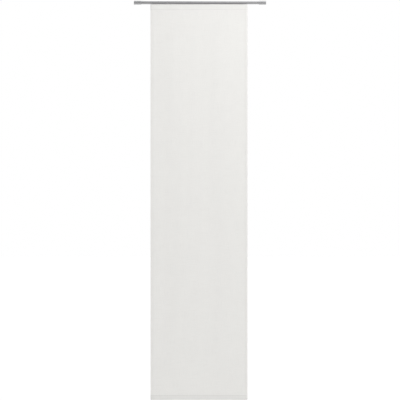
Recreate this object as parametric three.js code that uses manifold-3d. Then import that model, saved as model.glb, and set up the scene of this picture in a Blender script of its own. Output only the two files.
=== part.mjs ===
// A sliding panel curtain. A flat cloth panel is held by hook-and-loop tape on an aluminium
// carrier, which hangs on gliders in the running slot of a round curtain rod, and a flat
// weight bar in the bottom hem keeps the cloth straight.
// Millimetres, +Z up, +X to the right along the rod, the cloth's face towards -Y.
// The origin is the middle of the flat land on top of the rod, where its supports seat.
import * as THREE from "three";
import { mergeVertices } from "three/addons/utils/BufferGeometryUtils.js";
import Module from "manifold-3d";

const wasm = await Module();
wasm.setup();

// Driving dimensions of the panel, and how far the rod runs past it on each side when the
// panel hangs in the middle.
const panelWidth = 600;
const panelHeight = 2450;
const rodOverrun = 64;

// Driving dimensions of the rod and of what closes its ends.
const rodDiameter = 20;
const rodWall = 1.2;
const landWidth = 7;
const slotWidth = 5;
const lipThickness = 2.8;
const webDrop = 1.6;
const capLength = 45;
const capStep = 2;
const capRound = 1.2;
const capChamfer = 0.5;
const ringCount = 2;
const ringPitch = 12.5;
const ringWidth = 1.4;
const ringDepth = 0.7;
const flangeThickness = 1.5;
const shankLength = 22;
const stubDiameter = 8;
const stubLength = 16;
const capScrewDiameter = 4;
const capScrewLength = 6;
const capScrewHex = 2;
const capScrewPlace = 8;
const stopLength = 10;
const stopScrewDiameter = 3;
const stopScrewLength = 6;
const stopScrewHex = 1.5;
const hexDepth = 2;
const screwChamfer = 0.4;

// Driving dimensions of the carrier and its gliders.
const carrierEndInset = 5;
const carrierHeadWidth = 9.6;
const carrierWall = 1.2;
const finThickness = 1.4;
const finMargin = 1.5;
const finBeadDepth = 3;
const finBeadHeight = 1.6;
const endPlateThickness = 2;
const pegLength = 8;
const gliderCount = 4;
const gliderInset = 15;
const headHeight = 3.2;
const headDome = 0.9;
const footHeight = 1.8;

// Driving dimensions of the tapes, the cloth and the weight bar.
const tapeHeight = 25;
const tapeThickness = 1.2;
const tapeTopInset = 2;
const tapeEndInset = 2;
const clothThickness = 0.4;
const foldGap = 0.3;
const topHemMargin = 6.5;
const sideHem = 15;
const bottomHemEase = 10.5;
const turnIn = 5;
const edgeOverlap = 2;
const barEndInset = 9;
const barWidth = 20;
const barThickness = 4;
const barWall = 0.8;
const barPlugFlange = 1.2;
const barTongue = 12;

// Clearances and places.
const fitGap = 0.3;
const neckClearance = 0.7;
const headClearance = 0.7;
const carrierGap = 1.6;
const clothGap = 0.6;
const pocketEase = 0.3;
const capClearance = 4;
const panelOffset = -6;

// Sizes that follow, with heights measured from the rod's axis.
const rodLength = panelWidth + 2 * rodOverrun;
const carrierLength = panelWidth - 2 * carrierEndInset;
const tapeLength = carrierLength - 2 * tapeEndInset;
const barLength = panelWidth - 2 * barEndInset;
const rodRadius = rodDiameter / 2;
const boreRadius = rodRadius - rodWall;
const landHeight = Math.sqrt(rodRadius ** 2 - (landWidth / 2) ** 2);
const runway = lipThickness - rodRadius;
const webUnderside = -webDrop;
const channelHalfWidth = Math.sqrt(boreRadius ** 2 - runway ** 2);
const capRadius = rodRadius + capStep;
const flangeRadius = boreRadius - fitGap;
const neckRadius = slotWidth / 2 - neckClearance;
const headRadius = channelHalfWidth - headClearance;
const carrierTop = -rodRadius - carrierGap;
const grooveHalfWidth = carrierHeadWidth / 2 - carrierWall;
const grooveTop = carrierTop - carrierWall;
const grooveFloor = grooveTop - footHeight - 2 * fitGap;
const carrierHeadBottom = grooveFloor - carrierWall;
const mouthHalfWidth = neckRadius + fitGap;
const carrierFront = -carrierHeadWidth / 2;
const tapeTop = carrierTop - tapeTopInset;
const tapeBottom = tapeTop - tapeHeight;
const carrierBottom = tapeBottom - finMargin;
const hookTapeBack = carrierFront - fitGap;
const loopTapeBack = hookTapeBack - tapeThickness - fitGap;
const clothTop = -rodRadius - clothGap;
const clothBottom = clothTop - panelHeight;
const layerStep = clothThickness + foldGap;
const clothFrontY = loopTapeBack - tapeThickness - fitGap - clothThickness / 2 - layerStep;
const topHemBottom = tapeBottom - topHemMargin;
const bottomHemTop = clothBottom + barWidth + bottomHemEase;
const pocketDepth = barThickness + 2 * pocketEase + clothThickness;
const barCentreY = clothFrontY + pocketDepth / 2;
const barBottom = clothBottom + clothThickness + pocketEase;
const outerGlider = carrierLength / 2 - gliderInset;
const panelReach = rodOverrun - capClearance;

const arcSteps = 16;
const foldSteps = 6;
const turnSteps = 48;
const screwSteps = 24;
const weldDistance = 1e-4;

// A closed three.js geometry as a solid that can be joined and cut.
function solidOf(geometry) {
  const bare = geometry.index ? geometry.toNonIndexed() : geometry.clone();
  bare.deleteAttribute("normal");
  bare.deleteAttribute("uv");
  const merged = mergeVertices(bare, weldDistance);
  return new wasm.Manifold(
    new wasm.Mesh({
      numProp: 3,
      vertProperties: merged.attributes.position.array,
      triVerts: new Uint32Array(merged.index.array),
    }),
  );
}

// A joined or cut solid as a three.js geometry with flat faces.
function geometryOf(solid) {
  const { vertProperties, triVerts } = solid.getMesh();
  const shared = new THREE.BufferGeometry();
  shared.setAttribute("position", new THREE.BufferAttribute(new Float32Array(vertProperties), 3));
  shared.setIndex(new THREE.BufferAttribute(new Uint32Array(triVerts), 1));
  const geometry = shared.toNonIndexed();
  geometry.computeVertexNormals();
  return geometry;
}

function joined(...geometries) {
  return geometryOf(geometries.map(solidOf).reduce((sum, next) => sum.add(next)));
}

function cut(geometry, ...tools) {
  return geometryOf(tools.map(solidOf).reduce((rest, tool) => rest.subtract(tool), solidOf(geometry)));
}

// An outline drawn as (y, z), carried along X from one place to another.
function alongX(outline, from, to, curveSegments = arcSteps) {
  const depth = Math.abs(to - from);
  const geometry = new THREE.ExtrudeGeometry(outline, { depth, bevelEnabled: false, curveSegments });
  const axes = [new THREE.Vector3(0, 1, 0), new THREE.Vector3(0, 0, 1), new THREE.Vector3(1, 0, 0)];
  geometry.applyMatrix4(new THREE.Matrix4().makeBasis(...axes));
  return geometry.translate(Math.min(from, to), 0, 0);
}

// An outline drawn as (x, y), carried up from one height to another.
function alongZ(outline, from, to) {
  const geometry = new THREE.ExtrudeGeometry(outline, { depth: to - from, bevelEnabled: false });
  return geometry.translate(0, 0, from);
}

// A profile of [radius, place] pairs turned about the Z axis, or about X.
function turnedAboutZ(profile, steps) {
  const points = profile.map(([radius, place]) => new THREE.Vector2(radius, place));
  return new THREE.LatheGeometry(points, steps).rotateX(Math.PI / 2);
}

function turnedAboutX(profile, steps) {
  return turnedAboutZ(profile, steps).rotateY(Math.PI / 2);
}

function rectangle(left, right, bottom, top) {
  const corners = [
    [left, bottom],
    [right, bottom],
    [right, top],
    [left, top],
  ];
  return new THREE.Shape(corners.map(([x, y]) => new THREE.Vector2(x, y)));
}

// The outline of a cloth layer: a path down the middle of the cloth, with half the cloth's
// thickness set off to each side of it.
function clothStrip(path) {
  const line = path.getPoints(foldSteps).filter((p, i, all) => i === 0 || p.distanceTo(all[i - 1]) > 1e-6);
  const sides = line.map((p, i) => {
    const before = p.clone().sub(line[Math.max(i - 1, 0)]);
    const after = line[Math.min(i + 1, line.length - 1)].clone().sub(p);
    const ends = [before, after].filter((v) => v.length() > 0).map((v) => v.normalize());
    const along = ends.reduce((sum, v) => sum.clone().add(v)).normalize();
    const reach = clothThickness / 2 / along.dot(ends[0]);
    return new THREE.Vector2(-along.y, along.x).multiplyScalar(reach);
  });
  const left = line.map((p, i) => p.clone().add(sides[i]));
  const right = line.map((p, i) => p.clone().sub(sides[i]));
  return new THREE.Shape([...left, ...right.reverse()]);
}

// The rod's section: a round tube with a flat land on top, a web across it, and below the
// web a running channel with a slot between two lips.
function rodGeometry() {
  const landAngle = Math.asin(landHeight / rodRadius);
  const slotAngle = Math.acos(slotWidth / 2 / rodRadius);
  const lipAngle = Math.asin(-runway / boreRadius);
  const webAngle = Math.asin(-webUnderside / boreRadius);
  const section = new THREE.Shape();
  section.absarc(0, 0, rodRadius, -slotAngle, landAngle, false);
  section.absarc(0, 0, rodRadius, Math.PI - landAngle, Math.PI + slotAngle, false);
  section.lineTo(-slotWidth / 2, runway);
  section.absarc(0, 0, boreRadius, Math.PI + lipAngle, Math.PI + webAngle, true);
  section.absarc(0, 0, boreRadius, -webAngle, -lipAngle, true);
  section.lineTo(slotWidth / 2, runway);
  section.closePath();
  section.holes.push(chamberOutline(0));
  return alongX(section, -rodLength / 2, rodLength / 2);
}

// The closed chamber over the web, or what fits in it with a clearance all round.
function chamberOutline(clearance) {
  const radius = boreRadius - clearance;
  const roof = Math.asin((landHeight - rodWall - clearance) / radius);
  const floor = Math.asin((webUnderside + rodWall + clearance) / radius);
  const chamber = new THREE.Shape();
  chamber.absarc(0, 0, radius, floor, roof, false);
  chamber.absarc(0, 0, radius, Math.PI - roof, Math.PI - floor, false);
  chamber.closePath();
  return chamber;
}

// A turned end cap from its inner face at x = 0 outwards: a recess for the plug's flange, a
// bore for its stub, rings turned into the outside, and a rounded outer edge.
function endCapGeometry() {
  const boreDepth = flangeThickness + stubLength + fitGap;
  const recessDepth = flangeThickness + fitGap;
  const stubBore = stubDiameter / 2 + fitGap;
  const recess = flangeRadius + fitGap;
  const profile = [
    [0, boreDepth],
    [stubBore, boreDepth],
    [stubBore, recessDepth],
    [recess, recessDepth],
    [recess, 0],
    [capRadius - capChamfer, 0],
    [capRadius, capChamfer],
  ];
  for (let ring = 1; ring <= ringCount; ring++) {
    const middle = ring * ringPitch;
    profile.push([capRadius, middle - ringWidth / 2 - ringDepth / 2]);
    profile.push([capRadius - ringDepth, middle - ringWidth / 2]);
    profile.push([capRadius - ringDepth, middle + ringWidth / 2]);
    profile.push([capRadius, middle + ringWidth / 2 + ringDepth / 2]);
  }
  for (let step = 0; step <= foldSteps; step++) {
    const angle = ((step / foldSteps) * Math.PI) / 2;
    profile.push([
      capRadius - capRound * (1 - Math.cos(angle)),
      capLength - capRound * (1 - Math.sin(angle)),
    ]);
  }
  profile.push([0, capLength]);
  const screwHole = new THREE.CylinderGeometry(
    capScrewDiameter / 2 + fitGap,
    capScrewDiameter / 2 + fitGap,
    capRadius,
    screwSteps,
  );
  screwHole.translate(capScrewPlace, capRadius / 2 + stubBore / 2, 0);
  return cut(turnedAboutX(profile, turnSteps), screwHole);
}

// The plug that holds a cap: a shank in the rod's chamber, a flange between rod and cap, and
// a stub in the cap. Its flange starts at x = 0, the shank goes the other way.
function capPlugGeometry() {
  const stubEnd = flangeThickness + stubLength;
  const turned = turnedAboutX(
    [
      [0, 0],
      [flangeRadius, 0],
      [flangeRadius, flangeThickness],
      [stubDiameter / 2, flangeThickness],
      [stubDiameter / 2, stubEnd - screwChamfer],
      [stubDiameter / 2 - screwChamfer, stubEnd],
      [0, stubEnd],
    ],
    turnSteps,
  );
  const shank = alongX(chamberOutline(fitGap), -shankLength, flangeThickness / 2);
  return joined(turned, shank);
}

// A grub screw along Y, its hexagon socket in the end towards +Y.
function grubScrewGeometry(diameter, length, hexWidth) {
  const radius = diameter / 2;
  const body = turnedAboutZ(
    [
      [0, -length / 2],
      [radius - screwChamfer, -length / 2],
      [radius, -length / 2 + screwChamfer],
      [radius, length / 2 - screwChamfer],
      [radius - screwChamfer, length / 2],
      [0, length / 2],
    ],
    screwSteps,
  ).rotateX(-Math.PI / 2);
  const hexRadius = hexWidth / Math.sqrt(3);
  const socket = new THREE.CylinderGeometry(hexRadius, hexRadius, 2 * hexDepth, 6);
  return cut(body, socket.translate(0, length / 2, 0));
}

// A block in the running channel that the outermost glider runs up against.
function endStopGeometry() {
  const bottom = runway + fitGap;
  const top = webUnderside - fitGap;
  const block = alongX(rectangle(-headRadius, headRadius, bottom, top), -stopLength / 2, stopLength / 2);
  const holeRadius = stopScrewDiameter / 2 + fitGap;
  const hole = new THREE.CylinderGeometry(holeRadius, holeRadius, 2 * (top - bottom), screwSteps);
  return cut(block, hole.rotateX(Math.PI / 2).translate(0, 0, (top + bottom) / 2));
}

// A glider, turned in one piece: a foot in the carrier's groove, a collar over the carrier,
// a neck through the rod's slot and a domed head on the runway.
function gliderGeometry() {
  const footRadius = grooveHalfWidth - fitGap;
  const footTop = grooveTop - fitGap;
  const collarRadius = neckRadius + neckClearance + fitGap;
  const collarBottom = carrierTop + fitGap;
  const collarTop = -rodRadius - fitGap;
  const headBottom = runway + fitGap;
  const headTop = headBottom + headHeight;
  const profile = [
    [0, footTop - footHeight],
    [footRadius, footTop - footHeight],
    [footRadius, footTop],
    [neckRadius, footTop],
    [neckRadius, collarBottom],
    [collarRadius, collarBottom],
    [collarRadius, collarTop],
    [neckRadius, collarTop],
    [neckRadius, headBottom],
    [headRadius, headBottom],
  ];
  for (let step = 0; step < arcSteps / 2; step++) {
    const angle = (step / (arcSteps / 2)) * (Math.PI / 2);
    profile.push([headRadius * Math.cos(angle), headTop - headDome * (1 - Math.sin(angle))]);
  }
  profile.push([0, headTop]);
  return turnedAboutZ(profile, screwSteps);
}

// The carrier's outside: a head over a flat fin, whose foot has a stiffening bead.
function carrierCorners(headCorners) {
  const finBack = carrierFront + finThickness;
  return new THREE.Shape(
    [
      [carrierFront, carrierBottom],
      [finBack + finBeadDepth, carrierBottom],
      [finBack + finBeadDepth, carrierBottom + finBeadHeight],
      [finBack, carrierBottom + finBeadHeight],
      [finBack, carrierHeadBottom],
      [carrierHeadWidth / 2, carrierHeadBottom],
      [carrierHeadWidth / 2, carrierTop],
      ...headCorners,
      [carrierFront, carrierTop],
    ].map(([y, z]) => new THREE.Vector2(y, z)),
  );
}

// The extruded carrier, with a groove in its head that the gliders' feet hang in.
function carrierGeometry() {
  const groove = [
    [mouthHalfWidth, carrierTop],
    [mouthHalfWidth, grooveTop],
    [grooveHalfWidth, grooveTop],
    [grooveHalfWidth, grooveFloor],
    [-grooveHalfWidth, grooveFloor],
    [-grooveHalfWidth, grooveTop],
    [-mouthHalfWidth, grooveTop],
    [-mouthHalfWidth, carrierTop],
  ];
  return alongX(carrierCorners(groove), -carrierLength / 2, carrierLength / 2);
}

// The plate over one end of the carrier, with a peg in its groove. It starts at x = 0.
function endPlateGeometry(side) {
  const peg = rectangle(
    fitGap - grooveHalfWidth,
    grooveHalfWidth - fitGap,
    grooveFloor + fitGap,
    grooveTop - fitGap,
  );
  return joined(
    alongX(carrierCorners([]), 0, side * endPlateThickness),
    alongX(peg, (side * endPlateThickness) / 2, -side * pegLength),
  );
}

function tapeGeometry() {
  return new THREE.BoxGeometry(tapeLength, tapeThickness, tapeHeight);
}

// The cloth over the carrier: folded to the back over its top edge.
function topHemGeometry() {
  const bend = layerStep / 2;
  const bendHeight = clothTop - clothThickness / 2 - bend;
  const path = new THREE.Path();
  path.moveTo(clothFrontY + layerStep, topHemBottom);
  path.lineTo(clothFrontY + layerStep, bendHeight);
  path.absarc(clothFrontY + bend, bendHeight, bend, 0, Math.PI, false);
  path.lineTo(clothFrontY, topHemBottom - edgeOverlap);
  return alongX(clothStrip(path), -panelWidth / 2, panelWidth / 2);
}

// The cloth between the two hems: one sheet with a turned hem down each side.
function middleGeometry() {
  const halfWidth = panelWidth / 2;
  const outerBend = halfWidth - clothThickness / 2 - layerStep;
  const innerBend = halfWidth - sideHem + clothThickness / 2 + layerStep / 2;
  const innerY = clothFrontY + layerStep;
  const path = new THREE.Path();
  path.moveTo(-outerBend, innerY);
  path.lineTo(-innerBend, innerY);
  path.absarc(-innerBend, innerY + layerStep / 2, layerStep / 2, -Math.PI / 2, Math.PI / 2, false);
  path.absarc(-outerBend, innerY, layerStep, Math.PI / 2, (3 * Math.PI) / 2, false);
  path.absarc(outerBend, innerY, layerStep, -Math.PI / 2, Math.PI / 2, false);
  path.absarc(innerBend, innerY + layerStep / 2, layerStep / 2, Math.PI / 2, (3 * Math.PI) / 2, false);
  path.lineTo(outerBend, innerY);
  return alongZ(clothStrip(path), bottomHemTop + foldGap, topHemBottom - foldGap);
}

// The pocket at the foot: round the weight bar, up the back, and its edge turned in.
function bottomHemGeometry() {
  const bend = pocketDepth / 2;
  const bendHeight = clothBottom + clothThickness / 2 + bend;
  const backY = clothFrontY + pocketDepth;
  const seamY = clothFrontY + 2 * layerStep;
  const shoulder = barBottom + barWidth;
  const neck = bottomHemTop - turnIn;
  const ease = (neck - shoulder) / 2;
  const topBend = bottomHemTop - clothThickness / 2 - layerStep / 2;
  const path = new THREE.Path();
  path.moveTo(clothFrontY, bottomHemTop + edgeOverlap);
  path.lineTo(clothFrontY, bendHeight);
  path.absarc(clothFrontY + bend, bendHeight, bend, Math.PI, 2 * Math.PI, false);
  path.lineTo(backY, shoulder);
  path.bezierCurveTo(backY, shoulder + ease, seamY, neck - ease, seamY, neck);
  path.absarc(seamY - layerStep / 2, topBend, layerStep / 2, 0, Math.PI, false);
  path.lineTo(clothFrontY + layerStep, neck);
  return alongX(clothStrip(path), -panelWidth / 2, panelWidth / 2);
}

function clothGeometry() {
  return joined(topHemGeometry(), middleGeometry(), bottomHemGeometry());
}

// A flat oval standing on edge about the weight bar's middle, smaller by an inset all round.
function barOutline(inset) {
  const radius = barThickness / 2 - inset;
  const centre = barWidth / 2 - barThickness / 2;
  const oval = new THREE.Shape();
  oval.absarc(0, centre, radius, 0, Math.PI, false);
  oval.absarc(0, -centre, radius, Math.PI, 2 * Math.PI, false);
  oval.closePath();
  return oval;
}

function weightBarGeometry() {
  const section = barOutline(0);
  section.holes.push(barOutline(barWall));
  return alongX(section, -barLength / 2, barLength / 2, arcSteps / 2);
}

// The plug in one end of the weight bar. Its flange starts at x = 0.
function barPlugGeometry(side) {
  return joined(
    alongX(barOutline(0), 0, side * barPlugFlange, arcSteps / 2),
    alongX(barOutline(barWall + fitGap), (side * barPlugFlange) / 2, -side * barTongue, arcSteps / 2),
  );
}

const finishes = {
  silver: { color: 0xb4b4b6, roughness: 0.32, metalness: 1 },
  steel: { color: 0x8c8c90, roughness: 0.4, metalness: 1 },
  anodised: { color: 0xbcbcbe, roughness: 0.45, metalness: 1 },
  plastic: { color: 0xe6e6e3, roughness: 0.5, metalness: 0 },
  tape: { color: 0xe4e4e0, roughness: 0.95, metalness: 0 },
  cloth: { color: 0xe9e8e4, roughness: 0.9, metalness: 0 },
};

// A named piece with a material of its own, placed in a group.
function place(group, name, geometry, finish, x = 0, y = 0, z = 0) {
  const mesh = new THREE.Mesh(geometry, new THREE.MeshStandardMaterial(finishes[finish]));
  mesh.name = name;
  mesh.position.set(x, y, z);
  group.add(mesh);
  return mesh;
}

const curtain = new THREE.Group();
const rodSet = new THREE.Group();
const panel = new THREE.Group();
rodSet.position.z = -landHeight;
panel.position.set(panelOffset, 0, -landHeight);
curtain.add(rodSet, panel);

place(rodSet, "rod", rodGeometry(), "silver");
const stopPlace = panelReach + outerGlider + headRadius + fitGap + stopLength / 2;
const stopScrewTop = webUnderside - fitGap;
const screwReach = stubDiameter / 2 + fitGap + capScrewLength / 2;
for (const [hand, side] of [
  ["left", -1],
  ["right", 1],
]) {
  const rodEnd = side * (rodLength / 2 + fitGap);
  const cap = place(rodSet, `end_cap_${hand}`, endCapGeometry(), "silver", rodEnd);
  const plug = place(rodSet, `cap_plug_${hand}`, capPlugGeometry(), "plastic", rodEnd);
  cap.rotation.y = side < 0 ? Math.PI : 0;
  plug.rotation.z = side < 0 ? Math.PI : 0;
  const capScrew = grubScrewGeometry(capScrewDiameter, capScrewLength, capScrewHex);
  place(rodSet, `cap_screw_${hand}`, capScrew, "steel", rodEnd + side * capScrewPlace, screwReach);
  place(rodSet, `end_stop_${hand}`, endStopGeometry(), "plastic", side * stopPlace);
  const stopScrew = place(
    rodSet,
    `stop_screw_${hand}`,
    grubScrewGeometry(stopScrewDiameter, stopScrewLength, stopScrewHex),
    "steel",
    side * stopPlace,
    0,
    stopScrewTop - stopScrewLength / 2,
  );
  stopScrew.rotation.x = -Math.PI / 2;
}

for (let index = 0; index < gliderCount; index++) {
  const along = -outerGlider + (2 * outerGlider * index) / (gliderCount - 1);
  place(panel, `glider_${index + 1}`, gliderGeometry(), "plastic", along);
}
place(panel, "carrier", carrierGeometry(), "anodised");
const tapeMiddle = (tapeTop + tapeBottom) / 2;
place(panel, "hook_tape", tapeGeometry(), "tape", 0, hookTapeBack - tapeThickness / 2, tapeMiddle);
place(panel, "loop_tape", tapeGeometry(), "tape", 0, loopTapeBack - tapeThickness / 2, tapeMiddle);
place(panel, "panel_cloth", clothGeometry(), "cloth");
const barMiddle = barBottom + barWidth / 2;
place(panel, "weight_bar", weightBarGeometry(), "anodised", 0, barCentreY, barMiddle);
for (const [hand, side] of [
  ["left", -1],
  ["right", 1],
]) {
  const plateStart = side * (carrierLength / 2 + fitGap);
  const plugStart = side * (barLength / 2 + fitGap);
  place(panel, `carrier_end_${hand}`, endPlateGeometry(side), "plastic", plateStart);
  place(panel, `bar_plug_${hand}`, barPlugGeometry(side), "plastic", plugStart, barCentreY, barMiddle);
}

export default curtain;
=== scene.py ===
"""A sliding panel curtain with its finishes on: cloth, stitching, brushed rod and fittings.

Metres, +Z up, +X to the right along the rod, the cloth's face towards -Y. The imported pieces
give every place, and each piece that shows is made again here as a fine surface.
"""

import math
from contextlib import contextmanager

import bmesh
import bpy
import numpy as np
from mathutils import Matrix, Vector
from mathutils.geometry import tessellate_polygon


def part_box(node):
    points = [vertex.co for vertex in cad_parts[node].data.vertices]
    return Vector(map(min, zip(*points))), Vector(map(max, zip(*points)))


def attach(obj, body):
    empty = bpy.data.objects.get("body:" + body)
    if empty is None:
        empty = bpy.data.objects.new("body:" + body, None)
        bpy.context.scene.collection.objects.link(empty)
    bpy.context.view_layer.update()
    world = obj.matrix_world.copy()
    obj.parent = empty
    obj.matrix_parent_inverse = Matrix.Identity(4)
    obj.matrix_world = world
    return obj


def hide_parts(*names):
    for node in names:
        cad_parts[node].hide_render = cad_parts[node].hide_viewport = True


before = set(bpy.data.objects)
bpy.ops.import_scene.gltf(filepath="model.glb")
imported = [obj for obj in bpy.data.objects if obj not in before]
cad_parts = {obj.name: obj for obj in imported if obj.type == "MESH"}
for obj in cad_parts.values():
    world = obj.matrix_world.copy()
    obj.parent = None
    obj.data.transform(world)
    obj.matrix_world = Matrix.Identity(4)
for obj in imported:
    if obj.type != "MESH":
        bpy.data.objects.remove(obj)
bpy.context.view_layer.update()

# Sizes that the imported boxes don't give.
ROD_WALL = 0.0012
ROD_SLOT = 0.005
ROD_LIP = 0.0028
ROD_WEB_DROP = 0.0016
CAP_RING_WIDTH = 0.0014
CAP_RING_DEPTH = 0.0007
CAP_RING_PITCH = 0.0125
CAP_RINGS = 2
CAP_SCREW_PLACE = 0.008
CAP_SCREW_HOLE = 0.0023
STOP_SCREW_HOLE = 0.0018
PLUG_FLANGE = 0.0015
PLUG_STUB = 0.016
PLUG_CHAMFER = 0.0004
CAP_BORE = 0.0043
CAP_BORE_DEPTH = 0.0178
CAP_RECESS = 0.0088
CAP_RECESS_DEPTH = 0.0018
CAP_FACE_RADIUS = 0.0005
CAP_END_RADIUS = 0.0012
CLEARANCE = 0.0003
CLOTH_THICKNESS = 0.0004
LAYER_STEP = 0.0007
TOP_HEM_MARGIN = 0.0065
TOP_SEAM_DROP = 0.033
SIDE_HEM = 0.015
BOTTOM_HEM = 0.0305
TURN_IN = 0.005
SEAM_MARGIN = 0.0015
HEM_STEP = 0.0003
BAR_WALL = 0.0008
CARRIER_WALL = 0.0012
FIN_THICKNESS = 0.0014
BEAD_DEPTH = 0.003
BEAD_HEIGHT = 0.0016
FOOT_HEIGHT = 0.0018
GLIDERS = 4
GLIDER_NECK = 0.0018
GLIDER_COLLAR = 0.0028
GLIDER_HEAD_HEIGHT = 0.0032
FINE_RADIUS = 0.0002
EDGE_RADIUS = 0.0003
BLOCK_RADIUS = 0.0004
THREAD_RADIUS = 0.00018
STITCH_PITCH = 0.003
STITCH_GAP = 0.0005
CLOTH_COLUMNS = 84
CLOTH_ROWS = 270

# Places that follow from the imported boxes.
ROD_LOW, ROD_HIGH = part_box("rod")
CAP_LOW, CAP_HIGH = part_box("end_cap_right")
CLOTH_LOW, CLOTH_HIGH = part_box("panel_cloth")
TAPE_LOW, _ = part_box("loop_tape")
CARRIER_LOW, CARRIER_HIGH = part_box("carrier")
BAR_LOW, BAR_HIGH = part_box("weight_bar")
AXIS_Z = (CAP_LOW.z + CAP_HIGH.z) / 2
ROD_RADIUS = (ROD_HIGH.y - ROD_LOW.y) / 2
BORE_RADIUS = ROD_RADIUS - ROD_WALL
RUNWAY = ROD_LIP - ROD_RADIUS
PANEL_X = (CLOTH_LOW.x + CLOTH_HIGH.x) / 2
HALF_WIDTH = (CLOTH_HIGH.x - CLOTH_LOW.x) / 2
FRONT_Y = CLOTH_LOW.y + CLOTH_THICKNESS / 2
OUTER_BEND = HALF_WIDTH - CLOTH_THICKNESS / 2 - LAYER_STEP
INNER_BEND = HALF_WIDTH - SIDE_HEM + CLOTH_THICKNESS / 2 + LAYER_STEP / 2
TOP_HEM_FOOT = TAPE_LOW.z - TOP_HEM_MARGIN
BOTTOM_HEM_TOP = CLOTH_LOW.z + BOTTOM_HEM
TOP_SEAM_Z = CLOTH_HIGH.z - TOP_SEAM_DROP
BOTTOM_SEAM_Z = BOTTOM_HEM_TOP - SEAM_MARGIN
SIDE_SEAM = HALF_WIDTH - SIDE_HEM + SEAM_MARGIN

SMOOTH_BELOW = math.radians(32)
MERGE_WITHIN = 2e-6
STATION_PITCH = 0.025
HANDS = (("left", -1), ("right", 1))


# Mesh helpers


def together(*coordinates):
    """Points with these coordinates, each spread over the rows and columns of the others."""
    return np.stack(np.broadcast_arrays(*coordinates), axis=-1)


def unit(vectors):
    """Vectors at a length of one."""
    return vectors / np.linalg.norm(vectors, axis=-1, keepdims=True)


def arc(centre, radius, start, end, count):
    """Points on a circle in the plane, centre + radius (cos a, sin a), from start to end."""
    angle = np.linspace(start, end, count + 1)
    return together(centre[0] + radius * np.cos(angle), centre[1] + radius * np.sin(angle))


def line(start, end, count):
    """Evenly spaced points from start to end, start + t (end - start)."""
    share = np.linspace(0, 1, count + 1)[:, None]
    return np.asarray(start) + share * (np.asarray(end) - np.asarray(start))


def run_together(*stretches):
    """Stretches of a path as one, without the points that they share."""
    path = np.vstack(stretches)
    apart = np.diff(length_along(path)) > MERGE_WITHIN
    return path[np.append(True, apart)]


def length_along(path):
    """The distance along a path from its first point to each of its points."""
    steps = np.linalg.norm(np.diff(path, axis=0), axis=1)
    return np.append(0.0, np.cumsum(steps))


def rounded(corners, radius, step=math.radians(18)):
    """A closed outline with each corner turned into an arc of a radius that touches both of
    its sides, and takes less than half of them. A radius may be given for each corner, and a
    small turn is left as it is."""
    most_of_side = 0.48
    corners = np.asarray(corners, dtype=float)
    radii = np.broadcast_to(radius, len(corners))
    ring = np.vstack([corners[-1:], corners, corners[:1]])
    outline = []
    for before, corner, after, size in zip(ring, corners, ring[2:], radii):
        back, ahead = before - corner, after - corner
        reach = min(np.linalg.norm(back), np.linalg.norm(ahead)) * most_of_side
        back, ahead = unit(back), unit(ahead)
        opening = math.acos(np.clip(back @ ahead, -1, 1))
        turn = math.pi - opening
        if turn < step or size <= 0:
            outline.append(corner[None])
            continue
        drawn = min(size / math.tan(opening / 2), reach)
        fitted = drawn * math.tan(opening / 2)
        centre = corner + unit(back + ahead) * fitted / math.sin(opening / 2)
        first, last = corner + back * drawn - centre, corner + ahead * drawn - centre
        share = np.linspace(0, 1, max(math.ceil(turn / step), 2) + 1)[:, None]
        swing = np.sin((1 - share) * turn) * first + np.sin(share * turn) * last
        outline.append(centre + swing / math.sin(turn))
    return np.vstack(outline)


def outward(outline):
    """The normal at each point of a closed outline whose inside is on its left, long enough
    that moving every point by it moves each side by one."""
    sides = unit(np.roll(outline, -1, axis=0) - outline)
    normals = together(sides[:, 1], -sides[:, 0])
    joined = normals + np.roll(normals, 1, axis=0)
    return 2 * joined / np.maximum((joined**2).sum(axis=1, keepdims=True), 0.4)


def grid_faces(rows, columns, start=0, close_columns=False):
    """The quads of a grid of rows x columns vertices, numbered row by row."""
    near = np.arange(rows - 1)[:, None] * columns
    far = near + columns
    column = np.arange(columns if close_columns else columns - 1)
    beside = (column + 1) % columns
    quads = together(near + column, near + beside, far + beside, far + column)
    return quads.reshape(-1, 4) + start


@contextmanager
def reworked(mesh):
    """A mesh opened for work on its faces and edges, and written back at the end of it."""
    work = bmesh.new()
    work.from_mesh(mesh)
    yield work
    work.to_mesh(mesh)
    work.free()


def merge_doubles(work):
    bmesh.ops.remove_doubles(work, verts=work.verts, dist=MERGE_WITHIN)


def face_outwards(work):
    """Turns the faces of a shell so that they agree and the volume inside is above zero."""
    bmesh.ops.recalc_face_normals(work, faces=work.faces)
    if work.calc_volume(signed=True) < 0:
        bmesh.ops.reverse_faces(work, faces=work.faces)


def smoothed(mesh, below=SMOOTH_BELOW):
    """The mesh with smooth shading, apart from edges that turn by more than an angle."""
    mesh.shade_smooth()
    mesh.set_sharp_from_angle(angle=below)
    return mesh


def mesh_of(name, points, faces, uv=None, smooth_below=SMOOTH_BELOW):
    """A mesh with its doubles merged and its faces outwards. uv has a place on the flat
    cloth, in metres, for each point."""
    mesh = bpy.data.meshes.new(name)
    mesh.from_pydata(np.asarray(points).reshape(-1, 3).tolist(), [], [list(face) for face in faces])
    if uv is not None:
        mesh.uv_layers.new(name="cut").data.foreach_set("uv", uv[np.ravel(faces)].ravel())
    with reworked(mesh) as work:
        merge_doubles(work)
        face_outwards(work)
    return smoothed(mesh, smooth_below)


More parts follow.
